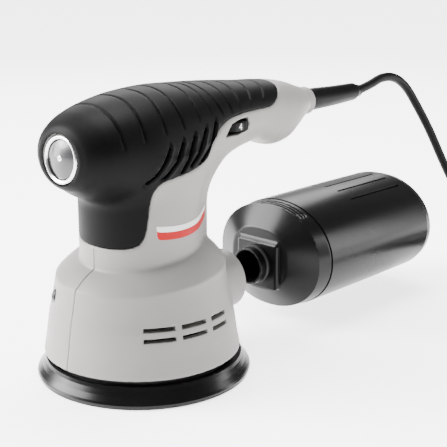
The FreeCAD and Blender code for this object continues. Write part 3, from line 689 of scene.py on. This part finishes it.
def meshed(field, low, high, step):
    """Vertices and quads of a field's zero surface. Each cell's vertex fits the tangent planes of
    its crossed edges, so flat faces stay flat and edges stay sharp."""
    n = BLOCK
    low = np.array(low, float)
    blocks_each = np.ceil((np.array(high) - low) / (step * n)).astype(int)
    blocks = np.stack(np.meshgrid(*[np.arange(c) for c in blocks_each], indexing="ij"), -1).reshape(-1, 3)
    centre = low + (blocks + 0.5) * step * n
    blocks = blocks[np.abs(field(centre)) < step * n * 1.25]
    local = np.stack(np.meshgrid(*[np.arange(n + 1)] * 3, indexing="ij"), -1)
    places = blocks[:, None, None, None, :] * n + local
    value = field(low + places * step)
    inside = value < 0
    edges = []
    own = (slice(None),) + (slice(0, n),) * 3
    for axis in range(3):
        shifted = list(own)
        shifted[axis + 1] = slice(1, n + 1)
        shifted = tuple(shifted)
        crossed = inside[own] != inside[shifted]
        start = places[own][crossed]
        va, vb = value[own][crossed], value[shifted][crossed]
        point = start.astype(float)
        point[:, axis] += va / (va - vb)
        edges.append((axis, start, point, inside[own][crossed]))
    points = np.concatenate([e[2] for e in edges])
    world = low + points * step
    reach = NORMAL_REACH * np.eye(3)
    normal = np.stack([field(world + reach[i]) - field(world - reach[i]) for i in range(3)], 1)
    normal /= np.linalg.norm(normal, axis=1, keepdims=True) + 1e-12
    around = [(0, 0), (-1, 0), (-1, -1), (0, -1)]
    span = (np.array(blocks_each) * n + 4).astype(np.int64)

    def key_of(cells):
        c = cells.astype(np.int64) + 1
        return (c[..., 0] * span[1] + c[..., 1]) * span[2] + c[..., 2]

    keys, owners, first = [], [], 0
    for axis, start, _, _ in edges:
        b, c = (axis + 1) % 3, (axis + 2) % 3
        cells = np.repeat(start[:, None, :], 4, axis=1)
        for k, (db, dc) in enumerate(around):
            cells[:, k, b] += db
            cells[:, k, c] += dc
        keys.append(key_of(cells))
        owners.append(first + np.arange(len(start)))
        first += len(start)
    all_keys = np.concatenate([k.ravel() for k in keys])
    source = np.concatenate([np.repeat(o, 4) for o in owners])
    unique, index = np.unique(all_keys, return_inverse=True)
    count = len(unique)
    many = np.bincount(index, minlength=count).astype(float)
    mass = np.stack([np.bincount(index, points[source, i], count) for i in range(3)], 1) / many[:, None]
    nrm = normal[source]
    off = np.sum(nrm * (points[source] - mass[index]), 1)
    a = np.zeros((count, 3, 3))
    rhs = np.zeros((count, 3))
    for i in range(3):
        rhs[:, i] = np.bincount(index, nrm[:, i] * off, count)
        for j in range(i, 3):
            a[:, i, j] = a[:, j, i] = np.bincount(index, nrm[:, i] * nrm[:, j], count)
    a += np.eye(3) * DAMPING
    shift = np.linalg.solve(a, rhs[..., None])[..., 0]
    corner = np.stack([unique // (span[1] * span[2]), unique // span[2] % span[1], unique % span[2]], 1) - 1
    vertex = np.clip(mass + shift, corner - CELL_SLACK, corner + 1 + CELL_SLACK)
    quads, taken = [], 0
    for (_, _, _, flip), key in zip(edges, keys):
        quad = index[taken:taken + key.size].reshape(-1, 4)
        taken += key.size
        quad = np.where(flip[:, None], quad, quad[:, ::-1])
        quads.append(quad)
    return low + vertex * step, np.concatenate(quads)


def on_left_side(x, z, offset):
    """Points on the left surface of the housing at side-view places, standing out by offset."""
    x, z = np.broadcast_arrays(np.asarray(x, float), np.asarray(z, float))
    near, far = np.zeros(x.shape), np.full(x.shape, -70.0)
    for _ in range(24):
        mid = (near + far) / 2
        p = np.stack([x, mid, z], -1)
        inside = trimmed_field(p, main_field(p)) < offset
        near, far = np.where(inside, mid, near), np.where(inside, far, mid)
    return np.stack([x, near, z], -1)


HOUSING_LOW, HOUSING_HIGH = (-62, -66, 8), (154, 66, 172)
GRIP_LOW, GRIP_HIGH = (-62, -44, 76), (112, 44, 172)
PAST_SEAM = 2.4
SHELL_STEP = 0.94
GRIP_STEP = 0.74


def add_shells():
    for name, side in (("left", -1), ("right", 1)):
        low, high = list(HOUSING_LOW), list(HOUSING_HIGH)
        if side < 0:
            high[1] = PAST_SEAM
        else:
            low[1] = -PAST_SEAM
        vertices, faces = meshed(lambda p: shell_field(p, side), low, high, SHELL_STEP)
        obj = mesh_piece("shell_" + name, vertices, faces, LOOKS["housing_plastic"], "housing", 32)
        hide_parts(name + "_shell")


def add_grip():
    vertices, faces = meshed(grip_field, GRIP_LOW, GRIP_HIGH, GRIP_STEP)
    obj = mesh_piece("grip_overmould", vertices, faces, LOOKS["grip_rubber"], "housing", 50)
    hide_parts("rubber_grip")


add_shells()
add_grip()


# ---------------------------------------------------------------- badge
BEZEL_R = BADGE_R - 0.15
BEZEL_W = 3.0
LENS_R = BEZEL_R - BEZEL_W - 0.25
DOME_TOP = 5.4
DOME_R = 26.0
BOSS_OFF_CENTRE = [1.0, -1.0, 0.0]


def on_badge(vertices):
    """Points made about Z, with Z outwards, put onto the tilted nose and widened towards the top."""
    v = np.asarray(vertices, float)
    out, across, up = v[:, 2], v[:, 1], v[:, 0]
    across = across * (1 + 0.045 * up / BADGE_R)
    x = BADGE[0] - out * math.cos(TILT) + up * math.sin(TILT)
    z = BADGE[2] + out * math.sin(TILT) + up * math.cos(TILT)
    return np.stack([x, across, z], 1)


def dome_height(r):
    return DOME_TOP - r * r / (2 * DOME_R)


def add_badge():
    ring = rounded([(BEZEL_R - BEZEL_W, -1.0), (BEZEL_R, -1.0), (BEZEL_R, 3.3), (BEZEL_R - 1.3, 4.9),
                    (BEZEL_R - 2.7, 4.2), (BEZEL_R - BEZEL_W, 2.0)], [0, 0, 1.6, 1.2, 0.5, 0.3], 6)
    vertices, faces = turned(ring, 128)
    obj = mesh_piece("badge_bezel", on_badge(vertices), faces, LOOKS["badge_chrome"], "housing", 40)
    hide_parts("badge_ring")
    axis_r = 0.001
    back = -0.8
    edge = dome_height(LENS_R) - 0.35
    dome = [(LENS_R * t, dome_height(LENS_R * t)) for t in np.linspace(0.0, 0.985, 14)[1:]]
    dome = [(axis_r, back), (axis_r, DOME_TOP)] + dome + [(LENS_R, edge), (LENS_R, back)]
    vertices, faces = turned(dome[::-1], 128)
    obj = mesh_piece("badge_mirror", on_badge(vertices), faces, LOOKS["badge_lens"], "housing", 40)
    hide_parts("badge_lens")
    boss = rounded([(0.6, 5.0), (1.5, 5.0), (1.5, 5.62), (0.6, 5.62)], [0, 0, 0.25, 0.25], 3)
    vertices, faces = turned(boss, 40)
    obj = mesh_piece("badge_centre_ring", on_badge(vertices + BOSS_OFF_CENTRE), faces, LOOKS["badge_chrome"],
                     "housing", 40)


add_badge()


# ---------------------------------------------------------------- label
LABEL_X = -16.4
LABEL_LENGTH = 46.0
LABEL_LOW_Z = 85.4
LABEL_RISE = 3.2
LABEL_BOW = 2.2
LABEL_HIGH = 7.6
LABEL_NARROWS = 0.6
LABEL_RED_ROWS = 7


def corner_lift(distance, across, lift):
    """How far a rounded lower corner lifts the label's edge at a distance from the label's end."""
    t = 1 - np.clip(distance / across, 0, 1)
    return lift * (1 - np.sqrt(1 - t ** 2))


def add_label():
    """Two-colour label that follows the side of the neck: white above, red below."""
    nx, nz = 64, 12
    u = np.linspace(0, 1, nx + 1)[:, None] * np.ones((1, nz + 1))
    v = np.linspace(0, 1, nz + 1)[None, :] * np.ones((nx + 1, 1))
    x = LABEL_X + LABEL_LENGTH * u
    low = LABEL_LOW_Z + LABEL_RISE * u + LABEL_BOW * (2 * u - 1) ** 2
    high = low + LABEL_HIGH - LABEL_NARROWS * u
    low = low + corner_lift(u * LABEL_LENGTH, 2.2, 1.9) + corner_lift((1 - u) * LABEL_LENGTH, 3.0, 2.5)
    z = low + (high - low) * v
    front = on_left_side(x, z, 0.16).reshape(-1, 3)
    back = on_left_side(x, z, -0.3).reshape(-1, 3)
    count = (nx + 1) * (nz + 1)
    faces, red = [], []
    for i in range(nx):
        for j in range(nz):
            a, b = i * (nz + 1) + j, (i + 1) * (nz + 1) + j
            faces.append((a, b, b + 1, a + 1))
            faces.append((a + count, a + 1 + count, b + 1 + count, b + count))
            red += [j < LABEL_RED_ROWS] * 2
    rim = [i * (nz + 1) for i in range(nx + 1)] + [nx * (nz + 1) + j for j in range(1, nz + 1)]
    rim += [i * (nz + 1) + nz for i in range(nx - 1, -1, -1)] + [j for j in range(nz - 1, 0, -1)]
    for a, b in zip(rim, rim[1:] + rim[:1]):
        faces.append((b, a, a + count, b + count))
        red.append(False)
    obj = mesh_piece("neck_label", np.concatenate([front, back]), faces, LOOKS["label_vinyl"], "housing", 40)
    obj.data.materials.append(LOOKS["label_red"])
    for polygon, is_red in zip(obj.data.polygons, red):
        polygon.material_index = int(is_red)
    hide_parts("side_label")


add_label()


# ---------------------------------------------------------------- speed dial
DIAL_MARKS = 6
DIAL_TEETH = 72
DIAL_HUB_R = 2.5
NUMBER_SIZE = 5.2
NUMBER_T = 0.12


def add_dial():
    """Thumbwheel with a knurled rim, and a printed number on each of its plain flats."""
    profile = rounded([(DIAL_HUB_R, -DIAL_HALF), (DIAL_R, -DIAL_HALF), (DIAL_R, DIAL_HALF),
                       (DIAL_HUB_R, DIAL_HALF)], [0, 0.7, 0.7, 0], 4)
    vertices, faces = turned(profile, 6 * DIAL_TEETH)
    angle = np.arctan2(vertices[:, 1], vertices[:, 0])
    radius = np.hypot(vertices[:, 0], vertices[:, 1])
    apart = 360 / DIAL_MARKS
    to_mark = np.abs((np.degrees(angle) + 90 + apart / 2) % apart - apart / 2)
    plain = np.clip((to_mark - 12) / 2, 0, 1)
    on_rim = radius > DIAL_R - 1.2
    dent = 0.45 * (0.5 - 0.5 * np.cos(angle * DIAL_TEETH)) * plain + 0.25 * (1 - plain)
    radius = radius - dent * on_rim
    vertices = np.stack([radius * np.cos(angle), radius * np.sin(angle), vertices[:, 2]], 1) + np.array(DIAL)
    obj = mesh_piece("dial_wheel", vertices, faces, LOOKS["black_plastic"], "dial", 40)
    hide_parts("speed_dial")
    for k in range(DIAL_MARKS):
        add_dial_number(k)


def add_dial_number(k):
    """Number k + 1, bent round the rim. Number 4 is the one in the window at rest."""
    name = "dial_number_%d" % (k + 1)
    text = bpy.data.curves.new(name, "FONT")
    text.body = str(k + 1)
    text.size = NUMBER_SIZE
    text.align_x = "CENTER"
    text.align_y = "CENTER"
    text.extrude = NUMBER_T
    holder = link(bpy.data.objects.new("number", text))
    made = bpy.data.meshes.new_from_object(holder)
    bpy.data.objects.remove(holder)
    made.name = name
    flat = np.array([v.co for v in made.vertices])
    turn = np.radians(-90 + 360 / DIAL_MARKS * (k - 3)) + flat[:, 0] / DIAL_R
    r = DIAL_R - 0.27 + flat[:, 2]
    place = np.stack([r * np.cos(turn), r * np.sin(turn), flat[:, 1]], 1) + np.array(DIAL)
    made.vertices.foreach_set("co", (place * MM).ravel())
    made.materials.clear()
    made.materials.append(LOOKS["dial_print"])
    number = link(bpy.data.objects.new(name, made))
    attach(number, "dial")


add_dial()


# ---------------------------------------------------------------- cord boot
def add_boot():
    """Tapered strain relief, slightly squared, that hangs a little between its ends."""
    seat_x = COLLAR_END_X - 2 * BOOT_LIP
    lip_x = COLLAR_END_X - BOOT_LIP - 0.1
    out_x = COLLAR_END_X + 0.1
    corners = [
        (seat_x, BOOT_SEAT_R - 0.2), (lip_x, BOOT_SEAT_R - 0.2), (lip_x, BOOT_NECK_R), (out_x, BOOT_NECK_R),
        (out_x, BOOT_R), (COLLAR_END_X + 3.0, BOOT_R), (BOOT_END_X - 7.0, 5.8), (BOOT_END_X - 3.0, 4.4),
        (BOOT_END_X, 4.0), (BOOT_END_X, 3.0), (BOOT_END_X, 0.01), (seat_x, 0.01),
    ]
    shape = rounded(corners, [0.3, 0.2, 0, 0, 0.5, 0, 1.5, 0.8, 0.6, 0, 0, 0], 5)
    fine = []
    for a, b in zip(shape, shape[1:]):
        steps = max(1, int(abs(b[0] - a[0]) / 1.5))
        fine += [(a[0] + (b[0] - a[0]) * k / steps, a[1] + (b[1] - a[1]) * k / steps) for k in range(steps)]
    fine.append(shape[-1])
    vertices, faces = turned([(r, x) for x, r in fine], 72)
    angle = np.arctan2(vertices[:, 1], vertices[:, 0])
    x = vertices[:, 2]
    t = np.clip((x - COLLAR_END_X) / (BOOT_END_X - COLLAR_END_X), 0, 1)
    squarish = 1 + 0.035 * np.cos(4 * angle) * np.clip(t * 8, 0, 1) * np.clip((1 - t) * 5, 0, 1)
    y, z = vertices[:, 1] * squarish, vertices[:, 0] * squarish
    sag = 0.3 * np.sin(np.pi * t) ** 2
    obj = mesh_piece("strain_relief", np.stack([x, y, COLLAR_Z + z - sag], 1), [f[::-1] for f in faces],
                     LOOKS["cable_rubber"], "housing", 40)
    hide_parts("cord_boot")


add_boot()


# ---------------------------------------------------------------- dust box cap
CAP_X = np.array([CAP_FACE_X, CAP_BAND_X, SEAM_X - 0.4])
CAP_WIDE = np.array([0.52, 0.955, 0.99]) * BOX_W
CAP_HIGH = np.array([0.57, 0.965, 0.99]) * BOX_H
CAP_ROUND = np.array([2.6, 2.1, 2.05])
CAP_WALL = 2.2
LIP_STEP = 2.6
LIP_SCALE = 35.0
LIP_PAST_SEAM = 6.0
RIBS_X = (115.4, 118.0, 120.6)
RIB_HALF = 0.9
RIB_DEPTH = 0.55
RIB_END_Y = 26.0
SADDLE_X = 101.0
SADDLE_BACK_X = 109.0
SADDLE_HALF_Y = 17.0
SADDLE = [
    (SADDLE_X, PORT_Z - 15), (SADDLE_X, PORT_Z + 14), (SADDLE_X + 6, PORT_Z + 20),
    (SADDLE_BACK_X, PORT_Z + 20), (SADDLE_BACK_X, PORT_Z - 15),
]


def hull_field(p, inset):
    """The cap's bell, shrunk by inset, without its ends."""
    x, y, z = parts_of(p)
    at = np.clip(x, CAP_X[0], CAP_X[-1])
    half, height = np.interp(at, CAP_X, CAP_WIDE) - inset, np.interp(at, CAP_X, CAP_HIGH) - inset
    n = np.interp(at, CAP_X, CAP_ROUND)
    r = ((np.abs(y) / half) ** n + (np.abs(z - BOX_Z) / height) ** n) ** (1 / n) + 1e-9
    slope = np.where(x < CAP_BAND_X, 1.8, 0.1)
    return (r - 1) * np.hypot(y, z - BOX_Z) / r / np.sqrt(1 + slope ** 2)


def rib_dents(x, y, z):
    """Fine grooves across the top of the band, from 0 to 1."""
    dents = np.zeros(x.shape)
    for rib_x in RIBS_X:
        dent = np.where(np.abs(x - rib_x) < RIB_HALF, 0.5 + 0.5 * np.cos(np.pi * (x - rib_x) / RIB_HALF), 0)
        dents = np.maximum(dents, dent)
    return dents * np.clip((RIB_END_Y - np.abs(y)) / 3, 0, 1) * (z > BOX_Z)


def cap_field(p):
    x, y, z = parts_of(p)
    bell = hull_field(p, 0.0) + RIB_DEPTH * rib_dents(x, y, z)
    bell = smooth_max(bell, slab(x, CAP_FACE_X, CAP_X[-1]), 0.7)
    n = CAP_ROUND[-1]
    across = ((np.abs(y) / (CAP_WIDE[-1] - LIP_STEP)) ** n
              + (np.abs(z - BOX_Z) / (CAP_HIGH[-1] - LIP_STEP)) ** n) ** (1 / n)
    lip_surface = (across - 1) * LIP_SCALE
    lip = np.maximum(lip_surface, slab(x, 117, SEAM_X + LIP_PAST_SEAM))
    saddle = smooth_max(polygon_field(x, z, SADDLE), np.abs(y) - SADDLE_HALF_Y, 2.0)
    spout = smooth_max(rod(y, z, PORT_Z, SPOUT_R), slab(x, SPOUT_X, SADDLE_BACK_X), 0.5)
    foot = smooth_max(rod(y, z, PORT_Z, SPOUT_R + 1.6), slab(x, SADDLE_X + 0.3, SADDLE_BACK_X), 0.5)
    solid = smooth_min(np.minimum(bell, lip), saddle, 1.0)
    solid = np.minimum(smooth_min(solid, foot, 0.8), spout)
    hollow = np.maximum(hull_field(p, 2 * CAP_WALL), CAP_FACE_X + CAP_WALL - x)
    inner = np.maximum(lip_surface + 2.4, 113 - x)
    cavity = np.minimum(np.where(x < 116, hollow, 99.0), inner)
    bore = np.maximum(rod(y, z, PORT_Z, SPOUT_R - SPOUT_WALL), x - 112)
    return np.maximum(np.maximum(solid, -cavity), -bore)


CAP_LOW, CAP_HIGH_CORNER = (89, -47, 5), (133, 47, 83)
CAP_STEP = 0.8


def add_cap():
    vertices, faces = meshed(cap_field, CAP_LOW, CAP_HIGH_CORNER, CAP_STEP)
    obj = mesh_piece("dust_cap_shell", vertices, faces, LOOKS["box_plastic"], "dust_cap", 32)
    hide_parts("dust_box_cap")


add_cap()


# ---------------------------------------------------------------- cord
def coil_points():
    """Turns of the put-away length: inwards on the floor, then back out on top of them."""
    points = []
    per_turn = 14
    for i in range(1, round(COIL_TURNS * per_turn)):
        turn = i / per_turn
        angle = -2 * math.pi * turn
        past = turn - COIL_LOWER_TURNS
        inwards = turn if past <= 0 else COIL_LOWER_TURNS - 0.98 * past
        radius = COIL_START_R - COIL_PITCH * inwards
        lift = min(1.0, max(0.0, (past + 0.25) / 0.5))
        z = CORD_R + COIL_LAYER * lift * lift * (3 - 2 * lift)
        points.append((COIL[0] + radius * math.cos(angle), COIL[1] + radius * math.sin(angle), z))
    return points


def add_cord():
    points = CORD_ROUTE + coil_points() + TAIL_ROUTE
    curve = bpy.data.curves.new("mains_cord", "CURVE")
    curve.dimensions = "3D"
    curve.bevel_depth = CORD_R * MM
    curve.bevel_resolution = 8
    curve.resolution_u = 10
    curve.use_fill_caps = True
    spline = curve.splines.new("NURBS")
    spline.points.add(len(points) - 1)
    for point, (x, y, z) in zip(spline.points, points):
        point.co = (x * MM, y * MM, z * MM, 1)
    spline.order_u = 3
    spline.use_endpoint_u = True
    curve.materials.append(LOOKS["cable_rubber"])
    obj = link(bpy.data.objects.new("mains_cord", curve))
    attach(obj, "housing")
    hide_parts("cord", "cord_tail", "cord_coil")


add_cord()


# ---------------------------------------------------------------- floor and light
FLOOR_HALF = 6


def add_floor():
    mesh = bpy.data.meshes.new("floor")
    corners = [(-FLOOR_HALF, -FLOOR_HALF, 0), (FLOOR_HALF, -FLOOR_HALF, 0),
               (FLOOR_HALF, FLOOR_HALF, 0), (-FLOOR_HALF, FLOOR_HALF, 0)]
    mesh.from_pydata(corners, [], [(0, 1, 2, 3)])
    floor_look = bpy.data.materials.new("floor")
    floor_look.use_nodes = True
    shader = floor_look.node_tree.nodes["Principled BSDF"]
    shader.inputs["Base Color"].default_value = (0.93, 0.93, 0.93, 1)
    shader.inputs["Roughness"].default_value = 0.7
    shader.inputs["Emission Color"].default_value = (1, 1, 1, 1)
    shader.inputs["Emission Strength"].default_value = 2.8
    mesh.materials.append(floor_look)
    link(bpy.data.objects.new("floor", mesh))


def add_light(name, place, target, size, power):
    data = bpy.data.lights.new(name, "AREA")
    data.shape = "RECTANGLE"
    data.size, data.size_y = size
    data.energy = power
    obj = link(bpy.data.objects.new(name, data))
    obj.location = place
    obj.rotation_mode = "QUATERNION"
    obj.rotation_quaternion = (Vector(target) - Vector(place)).to_track_quat("-Z", "Y")


def add_world():
    world = bpy.data.worlds.new("studio")
    bpy.context.scene.world = world
    world.use_nodes = True
    back = world.node_tree.nodes["Background"]
    back.inputs["Color"].default_value = (1, 1, 1, 1)
    back.inputs["Strength"].default_value = 0.3


def add_sun(direction, strength, softness):
    data = bpy.data.lights.new("sun", "SUN")
    data.energy = strength
    data.angle = math.radians(softness)
    obj = link(bpy.data.objects.new("sun", data))
    obj.rotation_mode = "QUATERNION"
    obj.rotation_quaternion = Vector(direction).to_track_quat("-Z", "Y")


add_floor()
add_sun((0.62, -0.72, -0.6), 11.0, 40)
add_light("left", (-0.55, 0.8, 0.35), (0.0, 0, 0.09), (0.4, 0.6), 12)
add_light("right", (0.75, -0.55, 0.3), (0.05, 0, 0.07), (0.2, 0.5), 4)
add_light("top", (0.2, 0.1, 1.0), (0.1, 0, 0.1), (0.6, 0.4), 18)
add_light("back", (0.75, 0.8, 0.75), (0.1, 0, 0.1), (1.0, 0.7), 12)
add_world()

bpy.context.view_layer.update()
